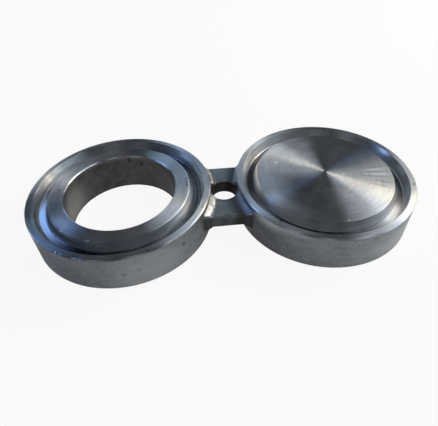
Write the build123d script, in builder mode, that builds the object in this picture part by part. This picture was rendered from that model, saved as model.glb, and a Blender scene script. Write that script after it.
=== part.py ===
from build123d import *
import os
from math import radians, tan

# Spectacle blind (figure-8 line blind) for ring-joint flanges of 3 inch pipe.
#
# A spacer ring and a blind disc of one outline stand side by side, with just the room of a flange
# bolt between their rims, so that their axes are the flange's bolt circle apart.  Each is turned
# from solid and has a ring-joint groove in both faces.  A flat web plate with one bolt hole runs
# between the rims and is fillet-welded to both all round its ends.  The bolt hole reaches almost
# from rim to rim, so it parts each weld into a front and a back bead.
#
# Millimetres, +Z up.  The origin is on the underside, below the axis of the bolt hole.
# +X points from the spacer ring to the blind disc, -Y is the front.

# ---- Driving dimensions ---------------------------------------------------------------------

outer_diameter = 146.0           # both ends: the raised face of the flange
thickness = 34.0                 # both ends, face to face

spacer_bore = 88.9               # clear bore of the ring
bore_edge_chamfer = 0.8          # both ends of the bore
upper_edge_chamfer = 0.9         # rim edge of the upper faces
lower_edge_chamfer = 2.6         # rim edge of the lower faces

groove_pitch_diameter = 123.83   # ring-joint groove R31
groove_width = 11.91             # across the mouth
groove_depth = 7.92
groove_wall_angle = 23.0         # of each wall, from the ring's axis

facing_pip_diameter = 4.0        # dimple that the facing tool leaves on the disc's axis
facing_pip_depth = 0.5

web_width = 61.5                 # front to back
web_thickness = 10.5
web_middle_height = 18.6         # middle of the plate above the underside
web_edge_chamfer = 0.5           # long edges of the plate
bolt_hole_diameter = 21.6
bolt_hole_land = 0.35            # metal left between the bolt hole and each rim

ring_weld_leg_on_plate = 5.5
ring_weld_leg_on_rim = 4.5
disc_weld_leg_on_plate = 4.0
disc_weld_leg_on_rim = 5.5
weld_stop = 5.5                  # the beads end this far from the centreline
weld_hole_setback = 0.4          # and this far from the wall of the bolt hole

# ---- Places that follow from them -----------------------------------------------------------

rim_radius = outer_diameter / 2
rim_gap = bolt_hole_diameter + 2 * bolt_hole_land
centre_distance = outer_diameter + rim_gap
ring_x = -centre_distance / 2
disc_x = centre_distance / 2
ring_axis = Axis((ring_x, 0, 0), (0, 0, 1))
disc_axis = Axis((disc_x, 0, 0), (0, 0, 1))
web_underside = web_middle_height - web_thickness / 2


def groove_section(axis_x, face_z, inwards):
    """Half section of a ring-joint groove cut from the face at face_z.

    A trapezoid that narrows to its floor.  inwards is -1 for a groove cut down from an upper
    face and +1 for one cut up from a lower face.
    """
    pitch_x = axis_x + groove_pitch_diameter / 2
    half_mouth = groove_width / 2
    half_floor = half_mouth - groove_depth * tan(radians(groove_wall_angle))
    floor_z = face_z + inwards * groove_depth
    with BuildSketch(Plane.XZ) as section:
        with BuildLine():
            Polyline(
                (pitch_x - half_mouth, face_z),
                (pitch_x - half_floor, floor_z),
                (pitch_x + half_floor, floor_z),
                (pitch_x + half_mouth, face_z),
                close=True,
            )
        make_face()
    return section.sketch


def web_outline(with_hole):
    """Plan of the web plate: a rectangle whose ends are cut to the two rims."""
    with BuildSketch(Plane.XY.offset(web_underside)) as outline:
        Rectangle(centre_distance, web_width)
        with Locations((ring_x, 0), (disc_x, 0)):
            Circle(rim_radius, mode=Mode.SUBTRACT)
        if with_hole:
            Circle(bolt_hole_diameter / 2, mode=Mode.SUBTRACT)
    return outline.sketch


def weld_round_web(end_x, leg_on_plate, leg_on_rim):
    """Fillet weld all round one end of the web plate, clear of the bolt hole and its land.

    The rim and the plate are joined, the inside corner where they meet is chamfered, and then
    both are taken away again, which leaves the metal that fills the corner.
    """
    outwards = -1 if end_x < 0 else 1
    rim_plane = Plane(origin=(end_x, 0, 0), x_dir=(outwards, 0, 0), z_dir=(0, 0, 1))
    with BuildPart() as rim:
        with BuildSketch(rim_plane):
            Circle(rim_radius)
        extrude(amount=thickness)
    with BuildPart() as plate:
        extrude(web_outline(with_hole=False), amount=web_thickness)
    with BuildPart() as weld:
        add(rim.part)
        add(plate.part)
        rim_wall = weld.faces().filter_by(GeomType.CYLINDER).sort_by(SortBy.AREA)[-1]
        inside_corner = rim_wall.inner_wires()[0].edges()
        chamfer(inside_corner, leg_on_rim, leg_on_plate, reference=rim_wall)
        add(rim.part, mode=Mode.SUBTRACT)
        add(plate.part, mode=Mode.SUBTRACT)
        Cylinder(bolt_hole_diameter / 2 + weld_hole_setback, 2 * thickness, mode=Mode.SUBTRACT)
        Box(centre_distance, 2 * weld_stop, 2 * thickness, mode=Mode.SUBTRACT)
    return weld.part


# ---- Spacer ring ----------------------------------------------------------------------------

with BuildPart() as spacer_ring:
    with BuildSketch(Plane.XY):
        with Locations((ring_x, 0)):
            Circle(rim_radius)
            Circle(spacer_bore / 2, mode=Mode.SUBTRACT)
    extrude(amount=thickness)
    upper_face = spacer_ring.faces().sort_by(Axis.Z)[-1]
    lower_face = spacer_ring.faces().sort_by(Axis.Z)[0]
    bore_edges = upper_face.inner_wires()[0].edges() + lower_face.inner_wires()[0].edges()
    chamfer(bore_edges, bore_edge_chamfer)
    chamfer(spacer_ring.faces().sort_by(Axis.Z)[-1].outer_wire().edges(), upper_edge_chamfer)
    chamfer(spacer_ring.faces().sort_by(Axis.Z)[0].outer_wire().edges(), lower_edge_chamfer)
    revolve(groove_section(ring_x, thickness, -1), axis=ring_axis, mode=Mode.SUBTRACT)
    revolve(groove_section(ring_x, 0, 1), axis=ring_axis, mode=Mode.SUBTRACT)

# ---- Blind disc -----------------------------------------------------------------------------

with BuildPart() as blind_disc:
    with BuildSketch(Plane.XY):
        with Locations((disc_x, 0)):
            Circle(rim_radius)
    extrude(amount=thickness)
    chamfer(blind_disc.faces().sort_by(Axis.Z)[-1].outer_wire().edges(), upper_edge_chamfer)
    chamfer(blind_disc.faces().sort_by(Axis.Z)[0].outer_wire().edges(), lower_edge_chamfer)
    revolve(groove_section(disc_x, thickness, -1), axis=disc_axis, mode=Mode.SUBTRACT)
    revolve(groove_section(disc_x, 0, 1), axis=disc_axis, mode=Mode.SUBTRACT)
    with Locations((disc_x, 0, thickness - facing_pip_depth / 2)):
        Cone(0, facing_pip_diameter / 2, facing_pip_depth, mode=Mode.SUBTRACT)

# ---- Web plate ------------------------------------------------------------------------------

with BuildPart() as web_plate:
    extrude(web_outline(with_hole=True), amount=web_thickness)
    chamfer(web_plate.edges().filter_by(Axis.X), web_edge_chamfer)

# ---- Weld beads -----------------------------------------------------------------------------

ends = {
    "ring": (ring_x, ring_weld_leg_on_plate, ring_weld_leg_on_rim),
    "disc": (disc_x, disc_weld_leg_on_plate, disc_weld_leg_on_rim),
}
sides = {"front": Keep.TOP, "back": Keep.BOTTOM}
pieces = {"spacer_ring": spacer_ring, "blind_disc": blind_disc, "web_plate": web_plate}
for end, (end_x, leg_on_plate, leg_on_rim) in ends.items():
    for side, half in sides.items():
        with BuildPart() as bead:
            add(weld_round_web(end_x, leg_on_plate, leg_on_rim))
            split(bisect_by=Plane.XZ, keep=half)
        pieces[f"weld_{end}_{side}"] = bead

# ---- One STEP file for each piece -----------------------------------------------------------

os.makedirs("parts", exist_ok=True)
for name, piece in pieces.items():
    piece.part.label = name
    export_step(piece.part, f"parts/{name}.step")
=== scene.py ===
from math import atan2, cos, degrees, hypot, pi, radians, sin, tan
from typing import NamedTuple

import bpy
import numpy as np
from bpy.props import FloatProperty, FloatVectorProperty, PointerProperty
from mathutils import Matrix, Vector


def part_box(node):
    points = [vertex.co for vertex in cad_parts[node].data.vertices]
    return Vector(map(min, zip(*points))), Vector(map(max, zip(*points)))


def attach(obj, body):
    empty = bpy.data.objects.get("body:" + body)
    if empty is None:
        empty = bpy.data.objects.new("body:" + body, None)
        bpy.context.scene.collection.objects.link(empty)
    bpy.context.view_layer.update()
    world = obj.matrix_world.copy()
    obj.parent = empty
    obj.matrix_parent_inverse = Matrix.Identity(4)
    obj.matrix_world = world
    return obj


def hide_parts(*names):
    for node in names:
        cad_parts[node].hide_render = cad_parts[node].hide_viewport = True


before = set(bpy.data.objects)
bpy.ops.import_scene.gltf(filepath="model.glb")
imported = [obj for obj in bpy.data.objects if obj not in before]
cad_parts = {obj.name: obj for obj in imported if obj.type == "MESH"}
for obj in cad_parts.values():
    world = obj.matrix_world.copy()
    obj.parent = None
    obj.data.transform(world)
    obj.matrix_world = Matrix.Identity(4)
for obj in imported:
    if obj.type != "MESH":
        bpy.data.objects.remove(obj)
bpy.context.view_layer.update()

bl_info = {
    "name": "Spectacle blind",
    "version": (1, 0, 0),
    "blender": (4, 5, 0),
    "location": "3D View > Sidebar > Spectacle blind",
    "description": "Dresses the packed spectacle blind in turned steel, plate and weld metal",
    "category": "Add Mesh",
}

MM = 0.001
BODY = "root"

# Millimetres, unless a line says otherwise.
EMBED = 0.5           # by which the plate goes into the rims
SINK = 0.12           # by which a bead's toes go into the metal
BEAD_ROOT = 1.0       # by which a bead's inside corner lies in the metal
BEAD_STOP = 5.2       # from the centreline to the end of a bead
HOLE_GAP = 0.15       # from a bead's toe to the bolt hole
LEAST_LEG = 0.3       # of a bead where the bolt hole stops it
FACING = (1.6, 3.2)   # from the disc's axis to the centre of its facing marks
GROOVE_WALL = 23.0    # degrees between a groove's wall and its axis
SEGMENTS = 640        # divisions of a full turn
RING_STEP = 1.1       # longest part of the ring's outline
DISC_STEP = 1.5       # longest part of the disc's outline
LOW_STEP = 3.0        # times that low down
ARC_STEP = 20.0       # degrees of a rounded corner between two points
HOLE_WORN = 0.25      # radius at the rims of the bolt hole
PLATE_ROUNDED = 0.45  # radius along the plate's outer edges
CUT_WAVE = 0.16       # waviness of the plate's long edges
TOP_WAVE = 0.07       # waviness of the plate's top
PLATE_SHARP = 38.0    # degrees past which an edge of the plate stays sharp
BEAD_SHARP = 75.0     # degrees past which an edge of a bead stays sharp
NOSE_LENGTH = 2.0     # of a bead's rounded start
NOSE_HEIGHT = 0.45    # of that start, as a share of the leg
GOLDEN_ANGLE = 2.39996   # radians

# Zones of the turned pieces and of the plate, which are the numbers of their materials.
FACE, SIDE, WALL, FLOOR, BORE = range(5)
TOP, EDGE, HOLE = range(3)

RING_LOW, RING_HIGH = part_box("spacer_ring")
DISC_LOW, DISC_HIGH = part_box("blind_disc")
WEB_LOW, WEB_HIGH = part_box("web_plate")
RING_X = (RING_LOW.x + RING_HIGH.x) / 2 / MM
DISC_X = (DISC_LOW.x + DISC_HIGH.x) / 2 / MM
RIM_RADIUS = (RING_HIGH.x - RING_LOW.x) / 2 / MM
THICKNESS = (RING_HIGH.z - RING_LOW.z) / MM
WEB_HALF_WIDTH = (WEB_HIGH.y - WEB_LOW.y) / 2 / MM
WEB_BOTTOM = WEB_LOW.z / MM
WEB_TOP = WEB_HIGH.z / MM


# ---- Sizes and colours that a user may change ----

def length(label, text, millimetres):
    """A length property with its default given in millimetres."""
    return FloatProperty(name=label, description=text, default=millimetres * MM,
                         min=0.0, precision=5, subtype="DISTANCE", unit="LENGTH")


def colour(label, text, value):
    """A linear colour property."""
    return FloatVectorProperty(name=label, description=text, default=value,
                               size=3, min=0.0, max=1.0, subtype="COLOR")


class BlindSizes(bpy.types.PropertyGroup):
    """Sizes of the turned ends, the plate's bolt hole and the weld beads."""
    bore: length("Bore", "Diameter of the spacer ring's bore", 88.9)
    bore_chamfer: length("Bore chamfer", "Chamfer at both ends of the bore", 0.8)
    upper_chamfer: length("Upper chamfer", "Chamfer on the rims' upper edge", 0.9)
    lower_chamfer: length("Lower chamfer", "Chamfer on the rims' lower edge", 2.6)
    groove_pitch: length("Groove pitch diameter", "Middle diameter of the groove", 123.83)
    groove_width: length("Groove width", "Width across the groove's mouth", 11.91)
    groove_depth: length("Groove depth", "Depth of the groove below the face", 7.92)
    groove_floor_radius: length("Groove floor radius", "Radius in the groove's corners", 0.8)
    edge_radius: length("Edge radius", "Wear on the turned edges", 0.3)
    pip_diameter: length("Facing pip", "Diameter of the dimple on the disc's axis", 4.0)
    pip_depth: length("Facing pip depth", "Depth of the dimple on the disc's axis", 0.5)
    bolt_hole: length("Bolt hole", "Diameter of the hole through the plate", 21.6)
    ring_bead_on_plate: length("Ring bead on plate", "Leg of the ring's bead on the plate", 5.5)
    ring_bead_on_rim: length("Ring bead on rim", "Leg of the ring's bead on the rim", 4.5)
    disc_bead_on_plate: length("Disc bead on plate", "Leg of the disc's bead on the plate", 4.0)
    disc_bead_on_rim: length("Disc bead on rim", "Leg of the disc's bead on the rim", 5.5)


class BlindColours(bpy.types.PropertyGroup):
    """Colours of the metals and of the stage."""
    turned: colour("Turned faces", "Bare steel of the turned faces", (0.46, 0.465, 0.475))
    groove: colour("Groove walls", "Bare steel of the groove walls", (0.50, 0.505, 0.515))
    # Painted shade: the groove floors are painted this dark to stand in for the shadow in the
    # grooves.
    groove_floor: colour("Groove floors", "Steel under a dark oil film", (0.09, 0.09, 0.094))
    side: colour("Side walls", "Duller steel of the outer walls", (0.275, 0.277, 0.280))
    bore: colour("Bore wall", "Browned steel inside the bore", (0.115, 0.112, 0.106))
    plate: colour("Web plate", "Ground plate", (0.170, 0.182, 0.180))
    plate_edge: colour("Plate edge", "Cut edges of the plate", (0.13, 0.135, 0.135))
    hole: colour("Hole wall", "Dark wall of the bolt hole", (0.07, 0.066, 0.062))
    ring_bead: colour("Ring bead", "Brushed weld metal at the ring", (0.62, 0.61, 0.60))
    # Painted light: the disc beads' blue stands in for the blue sky light that they reflect in the
    # disc's shadow.
    disc_bead: colour("Disc bead", "Heat-tinted weld metal at the disc", (0.50, 0.56, 0.66))
    bead_side: colour("Bead sides", "Dull weld metal beside and below", (0.080, 0.081, 0.083))
    # This dark colour is also the painted shade of the turned pieces' broad darker marks.
    dirt_and_shade: colour("Pits", "Dark floor of pits and chips", (0.02, 0.02, 0.022))
    floor: colour("Floor", "Pale floor", (0.80, 0.80, 0.80))


# ---- Shader maths ----

def find_socket(sockets, key):
    """The socket with this number or identifier."""
    if isinstance(key, int):
        return sockets[key]
    return next(socket for socket in sockets if socket.identifier == key)


class Value:
    """An output of a node, so that an expression on values adds its Math nodes."""

    def __init__(self, shader, socket):
        self.shader = shader
        self.socket = socket

    def output(self, key):
        """Another output of the same node."""
        return Value(self.shader, find_socket(self.socket.node.outputs, key))

    def math(self, operation, *others, clamp=False):
        return self.shader.math(operation, self, *others, clamp=clamp)

    def __add__(self, other):
        return self.math("ADD", other)

    def __sub__(self, other):
        return self.math("SUBTRACT", other)

    def __rsub__(self, other):
        return self.shader.math("SUBTRACT", other, self)

    def __mul__(self, other):
        return self.math("MULTIPLY", other)

    def __truediv__(self, other):
        return self.math("DIVIDE", other)

    def __rtruediv__(self, other):
        return self.shader.math("DIVIDE", other, self)

    __radd__ = __add__
    __rmul__ = __mul__

    def clamp(self):
        """The value kept from 0 to 1."""
        return self.math("ADD", 0.0, clamp=True)

    def ramp(self, low, high, to_low=0.0, to_high=1.0):
        """Goes smoothly from to_low at low to to_high at high."""
        return self.shader.node("ShaderNodeMapRange", {"interpolation_type": "SMOOTHSTEP"},
                                {"Value": self, "From Min": low, "From Max": high,
                                 "To Min": to_low, "To Max": to_high})


class Shader:
    """The nodes of a new material, or of a new world, under construction."""

    def __init__(self, owner, ending="ShaderNodeOutputMaterial"):
        owner.use_nodes = True
        self.owner = owner
        self.ending = ending
        self.tree = owner.node_tree
        self.tree.nodes.clear()

    def node(self, kind, settings=None, inputs=None, output=0):
        """Adds a node: its settings first, then the values or links of its sockets."""
        node = self.tree.nodes.new(kind)
        for key, value in (settings or {}).items():
            setattr(node, key, value)
        for key, value in (inputs or {}).items():
            socket = find_socket(node.inputs, key)
            if isinstance(value, Value):
                self.tree.links.new(value.socket, socket)
            else:
                socket.default_value = value
        return Value(self, find_socket(node.outputs, output)) if len(node.outputs) else None

    def math(self, operation, *values, clamp=False):
        """A Math node on these values."""
        return self.node("ShaderNodeMath", {"operation": operation, "use_clamp": clamp},
                         dict(enumerate(values)))

    def vector(self, operation, *values, output="Vector"):
        """A Vector Math node on these vectors."""
        return self.node("ShaderNodeVectorMath", {"operation": operation},
                         dict(enumerate(values)), output)

    def split(self, vector):
        """The x, y and z of a vector."""
        x = self.node("ShaderNodeSeparateXYZ", None, {0: vector})
        return x, x.output("Y"), x.output("Z")

    def join(self, x, y, z):
        """The vector of x, y and z."""
        return self.node("ShaderNodeCombineXYZ", None, {0: x, 1: y, 2: z})

    def place(self, centre=(0.0, 0.0, 0.0)):
        """Object coordinates in millimetres from centre, which is in millimetres too."""
        where = self.node("ShaderNodeTexCoord", output="Object")
        shift = tuple(-c for c in centre)
        return self.node("ShaderNodeMapping", None,
                         {"Vector": where, "Location": shift, "Scale": (1 / MM,) * 3})

    def noise(self, vector, scale, detail=3.0, roughness=0.5, distortion=0.0):
        """Noise from 0 to 1, with about scale grains to a unit of the vector."""
        return self.node("ShaderNodeTexNoise", {"noise_dimensions": "3D"},
                         {"Vector": vector, "Scale": scale, "Detail": detail,
                          "Roughness": roughness, "Distortion": distortion})

    def attribute(self, name):
        """A layer of values on the piece's points."""
        return self.node("ShaderNodeAttribute", {"attribute_name": name}, output="Fac")

    def mix(self, factor, first, second):
        """The colour first where factor is 0, and second where it is 1."""
        return self.node("ShaderNodeMix", {"data_type": "RGBA"},
                         {"Factor_Float": factor, "A_Color": first, "B_Color": second},
                         "Result_Color")

    def bump(self, height, distance):
        """Normal of a surface that a height of 1 lifts by distance, in millimetres."""
        return self.node("ShaderNodeBump", None,
                         {"Strength": 1.0, "Distance": distance * MM, "Height": height})

    def rays(self):
        """1 on a ray from the camera, on a mirrored one and on one that passes through."""
        camera = self.node("ShaderNodeLightPath", output="Is Camera Ray")
        return camera, camera.output("Is Glossy Ray"), camera.output("Is Transmission Ray")

    def principled(self, **inputs):
        """A Principled BSDF whose sockets have these values or links."""
        return self.node("ShaderNodeBsdfPrincipled", None, {
            key.replace("_", " ").title(): value for key, value in inputs.items()})

    def mix_shader(self, factor, first, second):
        """The shader first where factor is 0, and second where it is 1."""
        return self.node("ShaderNodeMixShader", None, {0: factor, 1: first, 2: second})

    def finish(self, shade):
        """Ends the nodes in this shader, and returns the material or the world."""
        self.node(self.ending, None, {"Surface": shade})
        return self.owner


def rgba(rgb, scale=1.0):
    """A colour socket's value: the colour times scale, at most 1."""
    return tuple(min(1.0, c * scale) for c in rgb) + (1.0,)


# ---- Materials ----

ACROSS_CUT = 0.25   # of a turn, so that the gloss is drawn out across the tool's rings


def lathe_place(shader, centre_x, centre_y=0.0):
    """Place about a turning axis: the vector, its radius, z, and a noise that follows the cut.

    around(rate, across) is noise on (rate x / r, rate y / r, across).  It has no seam, and it
    changes slowly along the cut.
    """
    where = shader.place((centre_x, centre_y, 0.0))
    x, y, z = shader.split(where)
    radius = shader.vector("LENGTH", shader.join(x, y, 0.0), output="Value")
    safe = radius.math("MAXIMUM", 0.5)
    east, north = x / safe, y / safe

    def around(rate, across, *settings):
        return shader.noise(shader.join(east * rate, north * rate, across), 1.0, *settings)

    return where, radius, z, around


def shaded(shader, tone, tint, spread, low=0.7, high=1.3):
    """The tint, darker by the share spread at a tone of low and lighter by it at high."""
    return shader.mix(tone.ramp(low, high), rgba(tint, 1 - spread), rgba(tint, 1 + spread))


def marked(shader, base, bare_and_highlight, dirt_and_shade):
    """The base colour with a turned piece's marks over it: bare metal and painted highlights, then
    dirt and painted shade.
    """
    base = shader.mix(shader.attribute("bare_and_highlight"), base, bare_and_highlight)
    return shader.mix(shader.attribute("pit_and_shade"), base, rgba(dirt_and_shade))


def turned_steel(name, tint, dirt_and_shade, centre, roughness, anisotropy):
    """Faced steel: fine rings from the tool, streaks along them, a little oil film, bare nicks,
    and the marks' painted highlights and shade.
    """
    shader = Shader(bpy.data.materials.new(name))
    where, radius, z, around = lathe_place(shader, *centre)
    rings = around(3.0, radius * 1.3 + z * 1.3, 4.0, 0.65)
    fine = around(6.0, (radius + z) * 6.0, 2.0)
    cloud = shader.noise(where, 0.05, 4.0, 0.6, 0.4)
    tone = rings.ramp(0.3, 0.7, 0.88, 1.12) * cloud.ramp(0.3, 0.7, 0.93, 1.06)
    base = marked(shader, shaded(shader, tone, tint, 0.28), rgba(tint, 1.9), dirt_and_shade)
    rough = roughness + (rings - 0.5) * 0.12 + (cloud - 0.5) * 0.10
    rough = rough + shader.attribute("pit_and_shade") * 0.3
    return shader.finish(shader.principled(
        base_color=base, metallic=1.0, roughness=rough.clamp(), anisotropic=anisotropy,
        anisotropic_rotation=ACROSS_CUT, normal=shader.bump(rings * 0.5 + fine * 0.5, 0.008)))


def groove_floor_steel(name, colours, centre_x, polished_highlight):
    """Turned groove floor painted dark as shade; where the marks paint a highlight it may be
    polished smooth and brighter, which paints a reflection there.
    """
    shader = Shader(bpy.data.materials.new(name))
    where, radius, _, around = lathe_place(shader, centre_x)
    rings = around(3.0, radius * 1.6, 3.0, 0.55)
    # The floor's dark colour is painted shade, and this noise only varies it.
    film = shader.noise(where, 0.12).ramp(0.3, 0.7, 0.85, 1.15)
    base = marked(shader, shaded(shader, film, colours.groove_floor, 0.3),
                  rgba(colours.groove, 1.4), colours.dirt_and_shade)
    rough = 0.36 + (rings - 0.5) * 0.05
    normal = shader.bump(rings, 0.003)
    turned = shader.principled(base_color=base, metallic=1.0, roughness=rough, anisotropic=0.9,
                               anisotropic_rotation=ACROSS_CUT, normal=normal)
    if not polished_highlight:
        return shader.finish(turned)
    # Where the marks paint a highlight, this brighter, smoother steel paints the blue lamp's
    # reflection.
    smooth = shader.principled(base_color=rgba(colours.groove, 1.5), metallic=1.0,
                               roughness=rough - 0.18, normal=normal)
    return shader.finish(shader.mix_shader(shader.attribute("bare_and_highlight"), turned, smooth))


def side_steel(name, tint, dirt_and_shade, centre_x):
    """Turned wall that has dulled in storage: rings up its height, smears, grain and stains."""
    shader = Shader(bpy.data.materials.new(name))
    where, _, z, around = lathe_place(shader, centre_x)
    rings = around(5.0, z * 1.6, 4.0, 0.6)
    smear = around(5.0, z * 0.12, 5.0, 0.62, 0.4)
    speck = shader.noise(where, 0.35, 3.0, 0.6).ramp(0.66, 0.76)
    grain = shader.noise(where, 0.8, 3.0, 0.6)
    tone = rings.ramp(0.25, 0.75, 0.92, 1.08) * smear.ramp(0.3, 0.7, 0.90, 1.08)
    tone = tone * grain.ramp(0.3, 0.7, 0.90, 1.10)
    base = shader.mix(speck * 0.35, shaded(shader, tone, tint, 0.35), rgba(tint, 0.5))
    # The marks paint light and shade on the wall, lighter towards the front right and darker
    # towards the front left, as well as dirt in its dents.
    base = marked(shader, base, rgba(tint, 2.2), dirt_and_shade)
    rough = 0.45 + (smear - 0.5) * 0.10 + speck * 0.08
    return shader.finish(shader.principled(
        base_color=base, metallic=1.0, roughness=rough.clamp(), anisotropic=0.5,
        anisotropic_rotation=ACROSS_CUT, normal=shader.bump(rings, 0.012)))


def bore_steel(name, tint, dirt_and_shade, centre_x):
    """Bored wall with a brown film and blotches."""
    shader = Shader(bpy.data.materials.new(name))
    where, _, z, around = lathe_place(shader, centre_x)
    blotch = shader.noise(where, 0.11, 5.0, 0.62, 0.5)
    rings = around(4.0, z * 1.4, 4.0, 0.6)
    tone = blotch.ramp(0.3, 0.7, 0.82, 1.15) * rings.ramp(0.25, 0.75, 0.92, 1.07)
    # The marks paint a patch of light on the bore's left wall, as well as dirt in its dents.
    base = marked(shader, shaded(shader, tone, tint, 0.4, 0.6, 1.35), rgba(tint, 3.0), dirt_and_shade)
    rough = 0.42 + (blotch - 0.5) * 0.2
    return shader.finish(shader.principled(
        base_color=base, metallic=1.0, roughness=rough.clamp(), anisotropic=0.3,
        anisotropic_rotation=ACROSS_CUT, normal=shader.bump(rings * 0.6 + blotch * 0.4, 0.02)))


def plate_steel(name, tint, roughness):
    """Plate with its scale ground off: faint lengthwise marks, dull patches, and a painted shadow
    by the disc.
    """
    shader = Shader(bpy.data.materials.new(name))
    where = shader.place()
    patch = shader.noise(where, 0.16, 4.0, 0.6, 0.3)
    grain = shader.noise(shader.vector("MULTIPLY", where, (0.25, 2.2, 1.2)), 1.0, 4.0, 0.6)
    tone = patch.ramp(0.3, 0.7, 0.85, 1.12) * grain.ramp(0.3, 0.7, 0.92, 1.06)
    # Painted shadow: near the disc's rim the plate darkens to 0.42 of its colour, fading out from
    # 9 to 16 mm beyond the rim.
    from_disc = shader.vector("LENGTH", shader.place((DISC_X, 0.0, 0.0)), output="Value")
    disc_shadow = (from_disc - RIM_RADIUS).ramp(9.0, 16.0, 1.0, 0.0)
    base = shader.mix(disc_shadow, shaded(shader, tone, tint, 0.35), rgba(tint, 0.42))
    rough = roughness + (patch - 0.5) * 0.16
    return shader.finish(shader.principled(
        base_color=base, metallic=0.9, roughness=rough.clamp(),
        normal=shader.bump(grain * 0.5 + patch, 0.05)))


def weld_metal(name, tint, dull, roughness):
    """Weld metal: bright crowns, darker valleys and toes, painted shade towards the rim, small
    grain, dull beside the plate.
    """
    shader = Shader(bpy.data.materials.new(name))
    where = shader.place()
    grain = shader.noise(where, 1.1, 4.0, 0.6)
    patch = shader.noise(where, 0.22, 3.0, 0.55)
    crown = shader.attribute("crown")
    tone = (crown * 0.75 + patch.ramp(0.3, 0.7) * 0.25 + (grain - 0.5) * 0.35).clamp()
    base = shader.mix(tone, rgba(tint, 0.4), rgba(tint))
    base = shader.mix(shader.attribute("dull"), base, rgba(dull))
    rough = roughness + (grain - 0.5) * 0.2 - crown * 0.08 + shader.attribute("dull") * 0.12
    return shader.finish(shader.principled(
        base_color=base, metallic=0.95, roughness=rough.clamp(),
        normal=shader.bump(grain, 0.12)))


# ---- Surfaces ----

def round_corners(corners, step):
    """Closed outline in the (r, z) plane with rounded corners and evenly divided runs.

    corners is a list of (r, z, radius).  Each corner of turn a becomes the arc tangent to both
    runs, centre = corner + bisector * radius / cos(a / 2), and each run between two arcs is
    divided into parts of at most step, or LOW_STEP times that low down.  Returns the points,
    their outward normals, and the number of the corner that each point follows.
    """
    points, normals, owners = [], [], []
    count = len(corners)
    corner = np.array([c[:2] for c in corners], float)
    radii = np.array([c[2] for c in corners], float)
    before = corner - np.roll(corner, 1, 0)
    before /= np.linalg.norm(before, axis=1)[:, None]
    after = np.roll(before, -1, 0)
    cross = before[:, 0] * after[:, 1] - before[:, 1] * after[:, 0]
    turn = np.arctan2(cross, (before * after).sum(1))
    cut = radii * np.tan(np.abs(turn) / 2)
    for i in range(count):
        inward = np.array([-before[i, 1], before[i, 0]])
        start = corner[i] - before[i] * cut[i]
        centre = start + inward * radii[i] * np.sign(turn[i])
        steps = max(1, int(np.ceil(abs(turn[i]) / radians(ARC_STEP))))
        a = np.linspace(0, turn[i], steps + 1)[-1 if radii[i] == 0 else 0:, None]
        arm = start - centre
        arc = centre + arm * np.cos(a) + np.array([-arm[1], arm[0]]) * np.sin(a)
        arc_normal = inward * np.cos(a) + np.array([-inward[1], inward[0]]) * np.sin(a)
        following = (i + 1) % count
        run = corner[following] - before[following] * cut[following] - arc[-1]
        longest = step * (LOW_STEP if corner[i, 1] < THICKNESS / 4 else 1.0)
        parts = max(1, int(np.ceil(np.linalg.norm(run) / longest)))
        t = np.arange(1, parts)[:, None] / parts
        points += [arc, arc[-1] + run * t]
        normals += [arc_normal, np.repeat(arc_normal[-1:], parts - 1, 0)]
        owners += [np.full(len(arc) + parts - 1, i)]
    return np.concatenate(points), np.concatenate(normals), np.concatenate(owners)


def wave_noise(u, v, seed):
    """Smooth noise of about -1 to 1: nine sines whose waves turn by the golden angle.

    Wave k has the rate 0.55 * 1.35^k and the height 1 / 1.18^k.
    """
    total = 0.0
    for k in range(9):
        angle = GOLDEN_ANGLE * k + seed
        rate = 0.55 * 1.35 ** k
        wave = np.sin(rate * (u * cos(angle) + v * sin(angle)) + 1.7 * seed + k * k)
        total = total + wave / 1.18 ** k
    return total / 4.2


def add_object(name, data):
    """Puts data into the scene as an object."""
    item = bpy.data.objects.new(name, data)
    bpy.context.scene.collection.objects.link(item)
    return item


def add_mesh(name, points, faces, normals=None, material_index=None, attributes=None):
    """Makes a smooth mesh piece from points in millimetres."""
    mesh = bpy.data.meshes.new(name)
    mesh.from_pydata((points * MM).tolist(), [], faces)
    mesh.polygons.foreach_set("use_smooth", np.ones(len(mesh.polygons), bool))
    if material_index is not None:
        mesh.polygons.foreach_set("material_index", material_index.astype(np.int32))
    for key, values in (attributes or {}).items():
        layer = mesh.attributes.new(key, "FLOAT", "POINT")
        layer.data.foreach_set("value", values.astype(np.float32))
    mesh.update()
    if normals is not None:
        mesh.normals_split_custom_set_from_vertices(normals.tolist())
    return add_object(name, mesh)


def grid_faces(rows, columns, wrap_rows=True):
    """Quads of a grid whose point (i, j) has the number i * columns + j; its columns wrap."""
    i = np.arange(rows if wrap_rows else rows - 1)[:, None]
    j = np.arange(columns)[None]
    i2, j2 = (i + 1) % rows, (j + 1) % columns
    quad = np.stack(np.broadcast_arrays(i * columns + j, i * columns + j2,
                                        i2 * columns + j2, i2 * columns + j), -1)
    return quad.reshape(-1, 4)


def press_marks(marks, angle, r, z):
    """How deep the marks make a turned piece at each angle and (r, z), how much dirt and painted
    shade they lay on it, and how much bare metal and painted highlight.

    Each mark of size (l, w) at (a0, r0, z0) adds -depth * b, with the bell
    b = exp(-(u / l)^2 - (v / w)^2), where u goes along the turning and v across it.  Where marks
    of one kind overlap, the strongest shade * 1.6 b, cut off at shade, is kept.
    """
    depth = np.zeros((len(angle), len(r)))
    pit_and_shade, bare_and_highlight = np.zeros_like(depth), np.zeros_like(depth)
    for turn, r0, z0, long, wide, deep, shade in marks:
        u = (np.mod(angle - radians(turn) + pi, 2 * pi) - pi) * r0
        v = np.hypot(r - r0, z - z0)[None]
        bell = np.exp(-(u / long) ** 2 - (v / wide) ** 2)
        depth -= deep * bell
        layer = bare_and_highlight if shade > 0 else pit_and_shade
        np.maximum(layer, abs(shade) * np.clip(bell * 1.6, 0, 1), out=layer)
    return depth, pit_and_shade, bare_and_highlight


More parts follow.
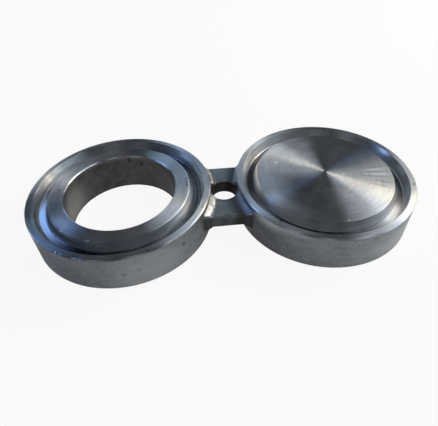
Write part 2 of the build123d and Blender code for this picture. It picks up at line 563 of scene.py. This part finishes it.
def turned_body(name, centre_x, corners, zones, marks, step):
    """A turned piece: its outline swept round the axis, with marks pressed into it.

    A point is (cx + r cos a, r sin a, z) + d n, where (r, z) runs along the outline, n is the
    outline's normal and d is the depth.  The normal of the pressed surface is
    n - (dd/ds) t - (dd/du) e, for the outline's tangent t and the turning's direction e.
    """
    outline, outward, owner = round_corners(corners, step)
    r, z = outline.T
    at_axis = r < 1e-6
    angle = np.linspace(0, 2 * pi, SEGMENTS, endpoint=False)[:, None]
    depth, pit_and_shade, bare_and_highlight = press_marks(marks, angle, r, z)
    depth[:, at_axis] = 0.0
    tangent = np.stack([outward[:, 1], -outward[:, 0]], 1)
    along = np.concatenate([[0], np.cumsum(np.hypot(*np.diff(outline, axis=0).T))])
    slope_s = np.gradient(depth, axis=1) / np.maximum(np.gradient(along), 1e-6)
    slope_u = np.gradient(depth, axis=0) / (2 * pi / SEGMENTS * np.maximum(r, 1.0))
    nr = outward[:, 0] - slope_s * tangent[:, 0]
    nz = outward[:, 1] - slope_s * tangent[:, 1]
    ca, sa = np.cos(angle), np.sin(angle)
    rr, zz = r + depth * outward[:, 0], z + depth * outward[:, 1]
    points = np.stack([centre_x + rr * ca, rr * sa, zz], -1)
    normals = np.stack([nr * ca + slope_u * sa, nr * sa - slope_u * ca, nz], -1)
    normals /= np.linalg.norm(normals, axis=-1)[..., None]
    # A point on the axis is the same for every angle, so the quads there are left as triangles,
    # and those that lie along the axis are left out.
    number = np.arange(SEGMENTS * len(r)).reshape(SEGMENTS, -1)
    number[:, at_axis] = number[0, at_axis]
    faces = number.reshape(-1)[grid_faces(*number.shape)]
    twin = faces == np.roll(faces, 1, 1)
    whole, cut = ~twin.any(1), twin.sum(1) == 1
    quads, triangles = faces[whole], faces[cut][~twin[cut]]
    kept, place = np.unique(np.concatenate([quads.reshape(-1), triangles]), return_inverse=True)
    quads, triangles = place[:quads.size].reshape(-1, 4), place[quads.size:].reshape(-1, 3)
    zone = np.tile(np.array(zones)[owner], SEGMENTS)
    return add_mesh(name, points.reshape(-1, 3)[kept], quads.tolist() + triangles.tolist(),
                    normals.reshape(-1, 3)[kept], np.concatenate([zone[whole], zone[cut]]),
                    {"pit_and_shade": pit_and_shade.reshape(-1)[kept], "bare_and_highlight": bare_and_highlight.reshape(-1)[kept]})


def plate_body(name, sizes):
    """The web plate: its section carried round the bolt hole.

    For each direction a about the hole, the inner point is I = h (cos a, sin a) and the outer
    point O is where that ray leaves the plate.  A point is I + s (cos a, sin a) at height z,
    where (s, z) goes up the hole's wall, out over the top, down the outer edge and back under
    the bottom, with quarter circles in its corners, and s = share * |O - I| + shift.
    """
    hole = sizes.bolt_hole / 2 / MM
    reach = RIM_RADIUS - EMBED
    across, along, out, up = 90, 50, 26, 10     # points of the outline and of the section
    side = np.linspace(-WEB_HALF_WIDTH, WEB_HALF_WIDTH, across)
    right = np.stack([DISC_X - np.sqrt(reach ** 2 - side ** 2), side], 1)
    front = np.linspace(right[-1, 0], -right[-1, 0], along)[1:-1]
    back = np.stack([front, np.full_like(front, WEB_HALF_WIDTH)], 1)
    half = np.concatenate([right, back])
    outer = np.concatenate([half, -half])
    long = np.linalg.norm(outer, axis=1)[:, None]
    ray = outer / long
    run = long - hole

    worn, rounded = HOLE_WORN, PLATE_ROUNDED
    low, high = WEB_BOTTOM, WEB_TOP
    quarter = np.linspace(0, pi / 2, 5)
    qs, qc = np.sin(quarter), np.cos(quarter)
    over = np.linspace(0, 1, out)[1:-1]
    section = [                     # share, shift, z and zone of each part
        (0, 0, np.linspace(low + worn, high - worn, up), HOLE),
        (0, worn - worn * qc[1:], high - worn + worn * qs[1:], HOLE),
        (over, worn - (worn + rounded) * over, high, TOP),
        (1, rounded * qs - rounded, high - rounded + rounded * qc, TOP),
        (1, 0, np.linspace(high - rounded, low + rounded, up)[1:-1], EDGE),
        (1, rounded * qc - rounded, low + rounded - rounded * qs, EDGE),
        (1 - over, worn - (worn + rounded) * (1 - over), low, TOP),
        (0, worn - worn * qs[:-1], low + worn - worn * qc[:-1], HOLE),
    ]
    share, shift, z, zone = np.concatenate(
        [np.stack(np.broadcast_arrays(*part)) for part in section], 1)
    s = share * run + shift
    x, y = (hole + s) * ray[:, :1], (hole + s) * ray[:, 1:]

    # The long edges are cut a little wavy, and the top is not quite flat.
    band = 2.5                      # from a long edge to where its waves have died away
    at_edge = np.clip((s - run + band) / band, 0, 1) * (np.abs(y) > WEB_HALF_WIDTH - 1.75)
    top = (s > worn) * (z > (low + high) / 2)
    y = y + np.sign(y) * at_edge * CUT_WAVE * (wave_noise(x * 0.5, z * 0.35, 2.1) - 0.5)
    z = z + TOP_WAVE * wave_noise(x * 0.22, y * 0.22, 0.7) * top
    piece = add_mesh(name, np.stack([x, y, z], -1).reshape(-1, 3),
                     grid_faces(*s.shape)[:, ::-1].tolist(),
                     material_index=np.broadcast_to(zone, s.shape).reshape(-1))
    piece.data.set_sharp_from_angle(angle=radians(PLATE_SHARP))
    return piece


class BeadLook(NamedTuple):
    """How a bead was laid: millimetres, or shares from 0 to 1."""
    pitch: float      # from one ripple to the next
    height: float     # of a ripple
    bow: float        # by which a ripple's ends trail its middle
    crown: float      # rise of the bead's middle, as a share of its chord
    scallops: float   # waviness of the toe on the plate, as a share of the leg
    # shade is painted shade: the crowns darken towards the rim, where the rim's wall shades the
    # bead.
    shade: float      # by which the crowns darken towards the rim


def bead_path(end_x, on_plate, on_rim, sizes, look, seed):
    """The toes P and Q, the corner C, the way along the bead and how dull it is, row by row.

    The rim's axis is at x = 0 here.  Over the plate's top and bottom C goes round the rim, P
    lies on the plate further out by the one leg, and Q stands on the rim at the other.  Down the
    plate's edge C is the upright line where its front meets the rim.  Round each corner of the
    plate C stays, and Q goes round it on the rim through a quarter turn.
    """
    hole = sizes.bolt_hole / 2 / MM
    stop_angle = np.arcsin(BEAD_STOP / RIM_RADIUS)
    corner_angle = np.arcsin(WEB_HALF_WIDTH / RIM_RADIUS)
    flat, fan, down = 110, 34, 40   # rows over the top, round a corner and down the edge
    over = np.linspace(stop_angle, corner_angle, flat)
    quarter = np.linspace(0, pi / 2, fan)[1:]
    drop = np.linspace(WEB_TOP, WEB_BOTTOM, down + 1)[1:]
    a = np.concatenate([over, np.full(2 * (fan - 1) + down, corner_angle), over[::-1]])
    high = np.concatenate([np.full(flat + fan - 1, WEB_TOP), drop,
                           np.full(fan - 1 + flat, WEB_BOTTOM)])
    turn = np.concatenate([np.zeros(flat), quarter, np.full(down, pi / 2), quarter + pi / 2,
                           np.full(flat, pi)])

    # The beam from the rim's axis that grazes the bolt hole stops the plate's toe there.
    inside = abs(end_x) * np.cos(a)
    root = inside ** 2 - end_x ** 2 + (hole + HOLE_GAP) ** 2
    reach = inside - np.sqrt(np.maximum(root, 0)) - RIM_RADIUS
    leg = np.where(root > 0, np.clip(reach, LEAST_LEG, on_plate), on_plate)

    nose = np.clip((a - stop_angle) * RIM_RADIUS / NOSE_LENGTH, 0, 1)
    nose = np.sqrt(1 - (1 - nose) ** 2) * (1 - NOSE_HEIGHT) + NOSE_HEIGHT
    down_edge = np.abs(turn - pi / 2) < 0.01
    way = np.hypot(np.gradient(a) * RIM_RADIUS, np.gradient(high) * down_edge)
    way = np.cumsum(way + np.gradient(turn) * on_rim / 2)
    dull = np.clip((turn - 0.5) / 0.7, 0, 1)
    swell = 1 + 0.07 * wave_noise(a * 40, turn * 2 + high * 0.2, seed)
    scallop = 1 + look.scallops * np.cos(2 * pi * (way + look.bow) / look.pitch) * (1 - dull)
    leg = leg * np.minimum(swell, 1.04) * scallop
    leg_rim = on_rim * nose * swell * (1 - 0.3 * dull)

    p_radius = RIM_RADIUS + leg
    p_angle = np.minimum(a, np.arcsin(WEB_HALF_WIDTH / p_radius))
    beside = np.abs(turn - pi / 2) < pi / 4
    toe_p = np.stack([p_radius * np.cos(p_angle), p_radius * np.sin(p_angle) - SINK * beside,
                      high - SINK * np.sign(np.cos(turn)) * ~beside], 1)
    q_radius, q_angle = RIM_RADIUS - SINK, a + leg_rim * np.sin(turn) / RIM_RADIUS
    toe_q = np.stack([q_radius * np.cos(q_angle), q_radius * np.sin(q_angle),
                      high + leg_rim * np.cos(turn)], 1)
    c_radius = RIM_RADIUS - BEAD_ROOT
    inner = np.stack([c_radius * np.cos(a), c_radius * np.sin(a) - BEAD_ROOT * np.sin(turn),
                      high - BEAD_ROOT * np.cos(turn)], 1)
    return toe_p, toe_q, inner, way[:, None], dull[:, None]


def weld_bead(name, end_x, on_plate, on_rim, y_side, sizes, look, seed):
    """A fillet weld from the bolt hole over the plate's top, round its edge and back below it.

    Across the bead (v) a point is P + (Q - P) v + N (c sin(pi v) + ripple), where N points away
    from C, c is the crown and the ripple is a row of crescents,
    r cos(2 pi (t + b (2 v - 1)^2) / p), for the way t, the bow b and the pitch p.  The skin is
    closed through C and at both ends.
    """
    toe_p, toe_q, inner, way, dull = bead_path(end_x, on_plate, on_rim, sizes, look, seed)
    out = (toe_p + toe_q) / 2 - inner
    out /= np.linalg.norm(out, axis=1)[:, None]
    v = np.linspace(0, 1, 19)
    chord = np.linalg.norm(toe_q - toe_p, axis=1)[:, None]
    phase = (way + look.bow * (2 * v - 1) ** 2) / look.pitch
    ripple = (0.5 + 0.5 * np.cos(2 * pi * phase)) * np.sin(pi * v) ** 0.7
    rough = wave_noise(way * 1.3, v[None] * 5, seed + 1)
    lift = look.height * (1 - 0.7 * dull) * (ripple - 0.5 + 0.35 * rough)
    rise = chord * look.crown * np.sin(pi * v) + lift * np.sin(pi * v) ** 0.5
    skin = (toe_p[:, None] * (1 - v[:, None]) + toe_q[:, None] * v[:, None]
            + out[:, None] * rise[..., None])
    shell = np.concatenate([skin, inner[:, None]], 1)
    outwards = 1.0 if end_x < 0 else -1.0
    shell[..., 0] = end_x + outwards * shell[..., 0]
    shell[..., 1] *= y_side
    crown = np.clip(0.5 + 0.7 * (ripple - 0.4) + 0.25 * rough, 0, 1)
    # Painted shade: the bead darkens towards the rim, where the rim's wall shades it.
    crown *= 1 - look.shade * np.clip((v - 0.4) / 0.3, 0, 1)
    crown = np.pad(crown, ((0, 0), (0, 1)))

    rows, columns = shell.shape[:2]
    points = np.concatenate([shell.reshape(-1, 3), shell[[0, -1]].mean(1)])
    j = np.arange(columns)
    k, last = (j + 1) % columns, (rows - 1) * columns
    first_end = np.full(columns, rows * columns)
    fans = (np.stack([first_end, k, j], 1), np.stack([first_end + 1, last + j, last + k], 1))
    order = -1 if outwards * y_side > 0 else 1
    faces = [face for part in (grid_faces(rows, columns, wrap_rows=False), *fans)
             for face in part[:, ::order].tolist()]
    piece = add_mesh(name, points, faces, attributes={
        "crown": np.append(crown, [0, 0]), "dull": np.append(np.repeat(dull, columns), [0, 1])})
    piece.data.set_sharp_from_angle(angle=radians(BEAD_SHARP))
    return piece


# ---- Outlines ----

def groove_corners(sizes, upper):
    """Corners of one ring-joint groove, in the order in which the outline meets them.

    The mouth reaches half its width to each side of the pitch circle, and the floor less than
    that by depth * tan(wall's angle).  The upper groove is met from its inner mouth to its outer
    mouth, the lower one the other way.
    """
    pitch = sizes.groove_pitch / 2 / MM
    mouth = sizes.groove_width / 2 / MM
    depth = sizes.groove_depth / MM
    floor = mouth - depth * tan(radians(GROOVE_WALL))
    face, bottom = (THICKNESS, THICKNESS - depth) if upper else (0.0, depth)
    edge, corner = sizes.edge_radius / MM, sizes.groove_floor_radius / MM
    run = [(pitch - mouth, face, edge), (pitch - floor, bottom, corner),
           (pitch + floor, bottom, corner), (pitch + mouth, face, edge)]
    return run if upper else run[::-1]


def outer_corners(sizes):
    """Corners of the upper groove, the rim from the upper face down, and the lower groove."""
    up, low = sizes.upper_chamfer / MM, sizes.lower_chamfer / MM
    edge = sizes.edge_radius / MM
    rim = [(RIM_RADIUS - up, THICKNESS, edge), (RIM_RADIUS, THICKNESS - up, edge),
           (RIM_RADIUS, low, edge), (RIM_RADIUS - low, 0.0, edge)]
    return groove_corners(sizes, True) + rim + groove_corners(sizes, False)


GROOVE_ZONES = [WALL, FLOOR, WALL, FACE]
OUTER_ZONES = GROOVE_ZONES + [FACE, SIDE, FACE, FACE] + GROOVE_ZONES


def ring_outline(sizes):
    """Corners of the ring's section, round from its bore, and the zone after each."""
    bore, cut = sizes.bore / 2 / MM, sizes.bore_chamfer / MM
    edge = sizes.edge_radius / MM
    top = [(bore, THICKNESS - cut, edge), (bore + cut, THICKNESS, edge)]
    bottom = [(bore + cut, 0.0, edge), (bore, cut, edge)]
    return top + outer_corners(sizes) + bottom, [FACE, FACE] + OUTER_ZONES + [FACE, BORE]


def disc_outline(sizes):
    """Corners of half of the disc's section, round from its axis, and the zone after each."""
    corners = [(0.0, THICKNESS, 0.0)] + outer_corners(sizes) + [(0.0, 0.0, 0.0)]
    return corners, [FACE] + OUTER_ZONES + [FACE]


def facing_dimple(sizes):
    """The dimple at the centre of the disc's facing marks, as a row of DISC_MARKS.

    A bell that is 0.6 of the dimple's radius wide has about the dimple's mouth.
    """
    turn, away = degrees(atan2(FACING[1], FACING[0])), hypot(*FACING)
    half = sizes.pip_diameter / 2 / MM * 0.6
    # The dimple is also painted dark all over.
    return (turn, away, THICKNESS, half, half, sizes.pip_depth / MM, -1.0)


# ---- Pieces ----

def dress(piece, node, materials):
    """Gives a piece its materials and its body, and hides the CAD node that it stands for."""
    for material in materials:
        piece.data.materials.append(material)
    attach(piece, BODY)
    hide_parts(node)


# Marks pressed into the turned pieces: angle in degrees, radius, height, half length along the
# turning, half width across it, depth, and shade, which is above 0 for bare metal and painted
# highlights and below 0 for dirt and painted shade.  Millimetres.
RING_MARKS = [
    # Painted light and shade, which have no depth: lighter patches paint highlights and
    # reflections, and darker ones paint shadows.
    (168, 44.45, 15, 14, 13, 0, 0.8),
    (290, 73, 15, 26, 15, 0, 0.35),
    (203, 61.9, 26.1, 21, 4.5, 0, 1),
    (190, 70, 34, 18, 3, 0, -0.5),
    (203, 66.3, 30, 14, 2.6, 0, -0.75),
    (215, 57.5, 30, 28, 2.6, 0, -0.8),
    (188, 50, 34, 16, 5, 0, -0.3),
    (222, 52, 34, 7, 3, 0, 0.5),
    (228, 73, 15, 34, 15, 0, -0.3),
    (2, 66.3, 30, 28, 2.6, 0, 0.9),
    (0, 57.5, 30, 26, 2.6, 0, 1),
    (5, 61.9, 26.1, 28, 3, 0, -0.9),
    (345, 55.9, 34, 34, 0.6, 0, 1),
    (95, 44.85, 33.6, 60, 0.6, 0, 1),
    # Dents, nicks and chips.
    (174.3, 49.2, 34, 0.7, 0.6, 0.35, -1),
    (7.6, 54.3, 34, 0.5, 0.9, 0.2, -0.8),
    (3.2, 53.9, 34, 1.6, 0.5, 0.15, -0.7),
    (359.5, 53.7, 34, 0.9, 0.5, 0.18, -0.8),
    (86.3, 44.45, 30.6, 1.5, 1.1, 0.45, -1),
    (72.6, 44.45, 27.1, 1.1, 0.9, 0.35, -0.9),
    (251.4, 56, 33.8, 1.4, 0.8, 0.5, 1),
    (225.2, 56.2, 33.6, 1.7, 1.1, 0.55, 1),
    (250.3, 72.4, 33.9, 1.5, 0.8, 0.55, 1),
    (254.2, 72.4, 33.8, 1.7, 0.8, 0.55, 1),
    (237.6, 72.2, 33.9, 0.9, 0.6, 0.2, 0.9),
    (240.6, 72.3, 33.9, 1.2, 0.6, 0.2, 0.9),
    (290.8, 71.4, 34, 1.3, 0.5, 0.15, -0.7),
    (339.1, 70.4, 34, 1, 0.5, 0.15, -0.7),
    (336.5, 70.9, 34, 0.8, 0.4, 0.12, -0.6),
    (312.6, 73, 22.4, 1.5, 1.5, 0.15, -0.6),
    (275.2, 73, 16.9, 2.2, 0.9, 0.1, -0.5),
    (283.6, 73, 18.8, 1, 0.6, 0.1, -0.5),
]
DISC_MARKS = [
    # Painted light and shade, which have no depth: lighter patches paint highlights and
    # reflections, darker ones paint shadows, and thin streaks lighten and darken the face by
    # turns.
    (312, 73, 15, 34, 15, 0, 0.45),
    (85, 43, 34, 20, 0.7, 0, 0.22),
    (216, 70, 32, 18, 5, 0, 1),
    (234, 70, 34, 16, 3.5, 0, 0.8),
    (212, 24, 34, 12, 12, 0, -0.42),
    (240, 34, 34, 14, 11, 0, -0.32),
    (216, 51, 34, 14, 5, 0, 0.8),
    (213, 61.9, 26.1, 15, 3, 0, 0.2),
    (172, 61.9, 26.1, 17, 3, 0, -0.75),
    (140, 61.9, 26.1, 12, 3, 0, 0.15),
    (172, 66.3, 30, 14, 2.6, 0, 0.9),
    (45, 70, 34, 26, 3, 0, 0.6),
    (216, 73, 12, 22, 14, 0, -0.35),
    (196, 48.5, 34, 24, 6, 0, 0.22),
    (349, 40, 34, 0.5, 11, 0, -0.3),
    (353, 43, 34, 0.6, 9, 0, 0.55),
    (356.5, 41, 34, 0.4, 10, 0, -0.25),
    (1, 42, 34, 0.8, 8, 0, 0.5),
    (5, 44, 34, 0.5, 7, 0, -0.25),
    (334, 44, 34, 0.6, 8, 0, -0.3),
    (341, 46, 34, 0.6, 7, 0, -0.3),
    (152, 42, 34, 1.2, 1, 0, 0.8),
    (352, 16, 34, 0.8, 0.8, 0, 0.9),
    (314, 61.9, 26.1, 13, 3, 0, 0.55),
    # Nicks and scratches.
    (264.6, 65.6, 34, 0.45, 0.9, 0.15, 1),
    (263.6, 67, 34, 0.45, 0.9, 0.15, 1),
    (262.5, 68.4, 34, 0.45, 0.9, 0.15, 1),
    (226.7, 67.6, 34, 1.1, 0.6, 0.25, -1),
    (273.1, 54.2, 34, 0.6, 0.5, 0.15, 0.9),
    (342.5, 70.7, 34, 1, 0.6, 0.2, -0.7),
    (338, 71.3, 34, 0.8, 0.5, 0.15, -0.6),
    (260.7, 73, 24.8, 2.6, 0.5, 0.1, -0.5),
    (265.7, 73, 24.8, 1.6, 0.5, 0.1, -0.5),
    (277.6, 73, 29.4, 1.4, 0.5, 0.1, -0.4),
    (283.7, 73, 29.9, 1.4, 0.5, 0.1, -0.4),
]


class BLIND_OT_spacer_ring(bpy.types.Operator):
    """Make the spacer ring"""
    bl_idname = "blind.spacer_ring"
    bl_label = "Spacer ring"

    def execute(self, context):
        sizes, colours = context.scene.blind_sizes, context.scene.blind_colours
        corners, zones = ring_outline(sizes)
        piece = turned_body("ring_body", RING_X, corners, zones, RING_MARKS, RING_STEP)
        dress(piece, "spacer_ring", [
            turned_steel("ring_faces", colours.turned, colours.dirt_and_shade, (RING_X, 0.0), 0.38, 0.95),
            side_steel("ring_side", colours.side, colours.dirt_and_shade, RING_X),
            turned_steel("ring_groove", colours.groove, colours.dirt_and_shade, (RING_X, 0.0), 0.32, 0.8),
            groove_floor_steel("ring_groove_floor", colours, RING_X, True),
            bore_steel("ring_bore", colours.bore, colours.dirt_and_shade, RING_X)])
        return {"FINISHED"}


class BLIND_OT_blind_disc(bpy.types.Operator):
    """Make the blind disc"""
    bl_idname = "blind.blind_disc"
    bl_label = "Blind disc"

    def execute(self, context):
        sizes, colours = context.scene.blind_sizes, context.scene.blind_colours
        corners, zones = disc_outline(sizes)
        marks = [facing_dimple(sizes)] + DISC_MARKS
        piece = turned_body("disc_body", DISC_X, corners, zones, marks, DISC_STEP)
        # The gloss runs round the texture space's centre, so it goes where the tool turned.
        facing_x, facing_y = DISC_X + FACING[0], FACING[1]
        piece.data.use_auto_texspace = False
        piece.data.texspace_location = (facing_x * MM, facing_y * MM, THICKNESS / 2 * MM)
        dress(piece, "blind_disc", [
            turned_steel("disc_faces", colours.turned, colours.dirt_and_shade, (facing_x, facing_y),
                         0.40, 0.92),
            side_steel("disc_side", colours.side, colours.dirt_and_shade, DISC_X),
            turned_steel("disc_groove", colours.groove, colours.dirt_and_shade, (DISC_X, 0.0), 0.32, 0.8),
            groove_floor_steel("disc_groove_floor", colours, DISC_X, False)])
        return {"FINISHED"}


class BLIND_OT_web_plate(bpy.types.Operator):
    """Make the web plate"""
    bl_idname = "blind.web_plate"
    bl_label = "Web plate"

    def execute(self, context):
        colours = context.scene.blind_colours
        piece = plate_body("web_body", context.scene.blind_sizes)
        dress(piece, "web_plate", [
            plate_steel("web_steel", colours.plate, 0.46),
            plate_steel("web_cut_edge", colours.plate_edge, 0.55),
            plate_steel("web_hole", colours.hole, 0.50)])
        return {"FINISHED"}


RING_LOOK = BeadLook(pitch=1.9, height=0.30, bow=1.1, crown=0.07, scallops=0.09, shade=0.8)
DISC_LOOK = BeadLook(pitch=1.7, height=0.14, bow=0.9, crown=0.02, scallops=0.04, shade=0.0)


class BLIND_OT_weld_beads(bpy.types.Operator):
    """Make the four weld beads"""
    bl_idname = "blind.weld_beads"
    bl_label = "Weld beads"

    def execute(self, context):
        sizes, colours = context.scene.blind_sizes, context.scene.blind_colours
        ring = weld_metal("ring_bead", colours.ring_bead, colours.bead_side, 0.34)
        disc = weld_metal("disc_bead", colours.disc_bead, colours.bead_side, 0.52)
        ends = (("ring", RING_X, sizes.ring_bead_on_plate, sizes.ring_bead_on_rim, ring,
                 RING_LOOK, 0.4),
                ("disc", DISC_X, sizes.disc_bead_on_plate, sizes.disc_bead_on_rim, disc,
                 DISC_LOOK, 1.4))
        for end, end_x, on_plate, on_rim, material, look, seed in ends:
            for side, y_side, more in (("front", -1.0, 0), ("back", 1.0, 2)):
                piece = weld_bead(f"bead_{end}_{side}", end_x, on_plate / MM, on_rim / MM,
                                  y_side, sizes, look, seed + more)
                dress(piece, f"weld_{end}_{side}", [material])
        return {"FINISHED"}


# ---- Stage ----

# Name, azimuth, elevation and half angle in degrees, tint, watts.  The last two are dim, for the
# sides that face away from the others.
LAMPS = [
    ("front_right_high", 330, 52, 7, (0.81, 0.91, 1.00), 1.33),
    ("front_right_middle", 340, 26, 7, (0.59, 0.79, 1.00), 0.65),
    ("right_middle", 0, 26, 7, (0.91, 1.00, 1.00), 1.15),
    ("right_high", 0, 52, 7, (0.85, 0.90, 1.00), 1.23),
    ("right_high_2", 10, 39, 7, (0.76, 0.87, 1.00), 2.31),
    ("right_middle_2", 20, 26, 7, (1.00, 0.90, 0.70), 3.24),
    ("back_right_high", 30, 39, 7, (1.00, 0.94, 0.85), 1.33),
    ("back_right_low", 40, 5, 7, (1.00, 0.95, 0.92), 1.34),
    ("back_right_middle", 40, 26, 7, (0.97, 1.00, 0.96), 0.68),
    ("back_top", 67.5, 66, 7, (0.83, 0.91, 1.00), 0.18),
    ("back_low", 90, 15, 7, (0.54, 0.76, 1.00), 1.18),
    ("back_high", 90, 39, 7, (0.63, 0.79, 1.00), 0.46),
    ("back_high_2", 90, 52, 7, (0.75, 0.86, 1.00), 0.46),
    ("back_low_2", 110, 15, 7, (0.89, 0.91, 1.00), 0.29),
    ("back_patch", 127, 38, 4, (0.26, 0.48, 1.00), 0.125),
    ("back_low_3", 130, 15, 7, (0.79, 0.89, 1.00), 0.39),
    ("left_low", 170, 15, 7, (0.33, 0.57, 1.00), 1.20),
    ("left_high", 170, 39, 7, (0.26, 0.47, 1.00), 1.24),
    ("front_left", 230, 40, 9, (0.80, 0.90, 1.00), 0.4),
    ("front_high", 275, 44, 9, (0.90, 0.95, 1.00), 0.5),
]
LAMP_DISTANCE = 1.2           # metres
FLOOR_HALF = 6000.0           # millimetres
CAMERA_TARGET = (1.96, 17.9, 0.0)   # millimetres
CAMERA_DISTANCE = 0.3537      # metres
CAMERA_AZIMUTH, CAMERA_ELEVATION, CAMERA_ROLL = 4.7548, 42.4749, -1.2902
CAMERA_LENS = 31.80           # millimetres, on a sensor of 36
CAMERA_SHIFT = (-0.01307, -0.03635)


def towards(azimuth, elevation):
    """The way (cos a cos e, sin a cos e, sin e) in which an azimuth and an elevation point."""
    a, e = radians(azimuth), radians(elevation)
    return Vector((cos(a) * cos(e), sin(a) * cos(e), sin(e)))


def add_floor(colours):
    """A pale flat square, nearly white to the camera and paler to the metal, with the shadow."""
    corners = np.array([(-1, -1, 0), (1, -1, 0), (1, 1, 0), (-1, 1, 0)]) * FLOOR_HALF
    floor = add_mesh("floor", corners, [(0, 1, 2, 3)])
    shader = Shader(bpy.data.materials.new("floor"))
    camera, mirrored, through = shader.rays()
    white = camera * 0.92 + (mirrored + through) * 0.3
    paint = shader.node("ShaderNodeBsdfDiffuse", None, {"Color": rgba(colours.floor)})
    glow = shader.node("ShaderNodeEmission", None, {"Color": (1, 1, 1, 1), "Strength": 1.0})
    floor.data.materials.append(shader.finish(shader.mix_shader(white, paint, glow)))


def add_lights(scene):
    """Soft round lamps on a dome round the object, over a dim world that is white to look at."""
    middle = Vector((0, 0, THICKNESS * MM / 2))
    for name, azimuth, elevation, half, tint, power in LAMPS:
        lamp = bpy.data.lights.new(name, "AREA")
        lamp.shape = "DISK"
        lamp.size = 2 * LAMP_DISTANCE * tan(radians(half))
        lamp.energy = power
        lamp.color = tint
        away = towards(azimuth, elevation)
        turn = away.to_track_quat("Z", "Y").to_matrix().to_4x4()
        add_object(name, lamp).matrix_world = (
            Matrix.Translation(middle + away * LAMP_DISTANCE) @ turn)
    shader = Shader(bpy.data.worlds.new("studio"), "ShaderNodeOutputWorld")
    camera, mirrored, through = shader.rays()
    strength = (camera + through) * 0.96 + mirrored * 0.01 + 0.01
    scene.world = shader.finish(shader.node("ShaderNodeBackground", None, {
        "Color": (1.0, 1.0, 1.0, 1.0), "Strength": strength}))


def add_camera(scene):
    """Camera that looks down on the blind from the front, a little rolled."""
    roll = radians(CAMERA_ROLL)
    back = towards(-90 - CAMERA_AZIMUTH, CAMERA_ELEVATION)
    level = Vector((0.0, 0.0, 1.0)).cross(back).normalized()
    right = level * cos(roll) + back.cross(level) * sin(roll)
    lens = bpy.data.cameras.new("camera")
    lens.sensor_width = 36.0
    lens.lens = CAMERA_LENS
    lens.shift_x, lens.shift_y = CAMERA_SHIFT
    lens.clip_start = 0.01
    turn = Matrix((right, back.cross(right), back)).transposed().to_4x4()
    camera = add_object("camera", lens)
    camera.matrix_world = (
        Matrix.Translation(Vector(CAMERA_TARGET) * MM + back * CAMERA_DISTANCE) @ turn)
    scene.camera = camera


class BLIND_OT_studio(bpy.types.Operator):
    """Make the floor, the lights and the camera"""
    bl_idname = "blind.studio"
    bl_label = "Studio"

    def execute(self, context):
        add_floor(context.scene.blind_colours)
        add_lights(context.scene)
        add_camera(context.scene)
        context.scene.view_settings.view_transform = "Standard"
        return {"FINISHED"}


class BLIND_PT_panel(bpy.types.Panel):
    """Lists the pieces, the sizes and the colours"""
    bl_idname = "BLIND_PT_panel"
    bl_label = "Spectacle blind"
    bl_space_type = "VIEW_3D"
    bl_region_type = "UI"
    bl_category = "Spectacle blind"

    def draw(self, context):
        for operator in PIECES:
            self.layout.operator(operator.bl_idname)
        for group in (context.scene.blind_sizes, context.scene.blind_colours):
            box = self.layout.box()
            for name in type(group).__annotations__:
                box.prop(group, name)


PIECES = [BLIND_OT_spacer_ring, BLIND_OT_blind_disc, BLIND_OT_web_plate, BLIND_OT_weld_beads,
          BLIND_OT_studio]
CLASSES = [BlindSizes, BlindColours, *PIECES, BLIND_PT_panel]


def register():
    for cls in CLASSES:
        bpy.utils.register_class(cls)
    bpy.types.Scene.blind_sizes = PointerProperty(type=BlindSizes)
    bpy.types.Scene.blind_colours = PointerProperty(type=BlindColours)


def unregister():
    del bpy.types.Scene.blind_colours
    del bpy.types.Scene.blind_sizes
    for cls in reversed(CLASSES):
        bpy.utils.unregister_class(cls)


def main():
    register()
    for operator in PIECES:
        group, name = operator.bl_idname.split(".")
        getattr(getattr(bpy.ops, group), name)()


if __name__ == "__main__":
    main()
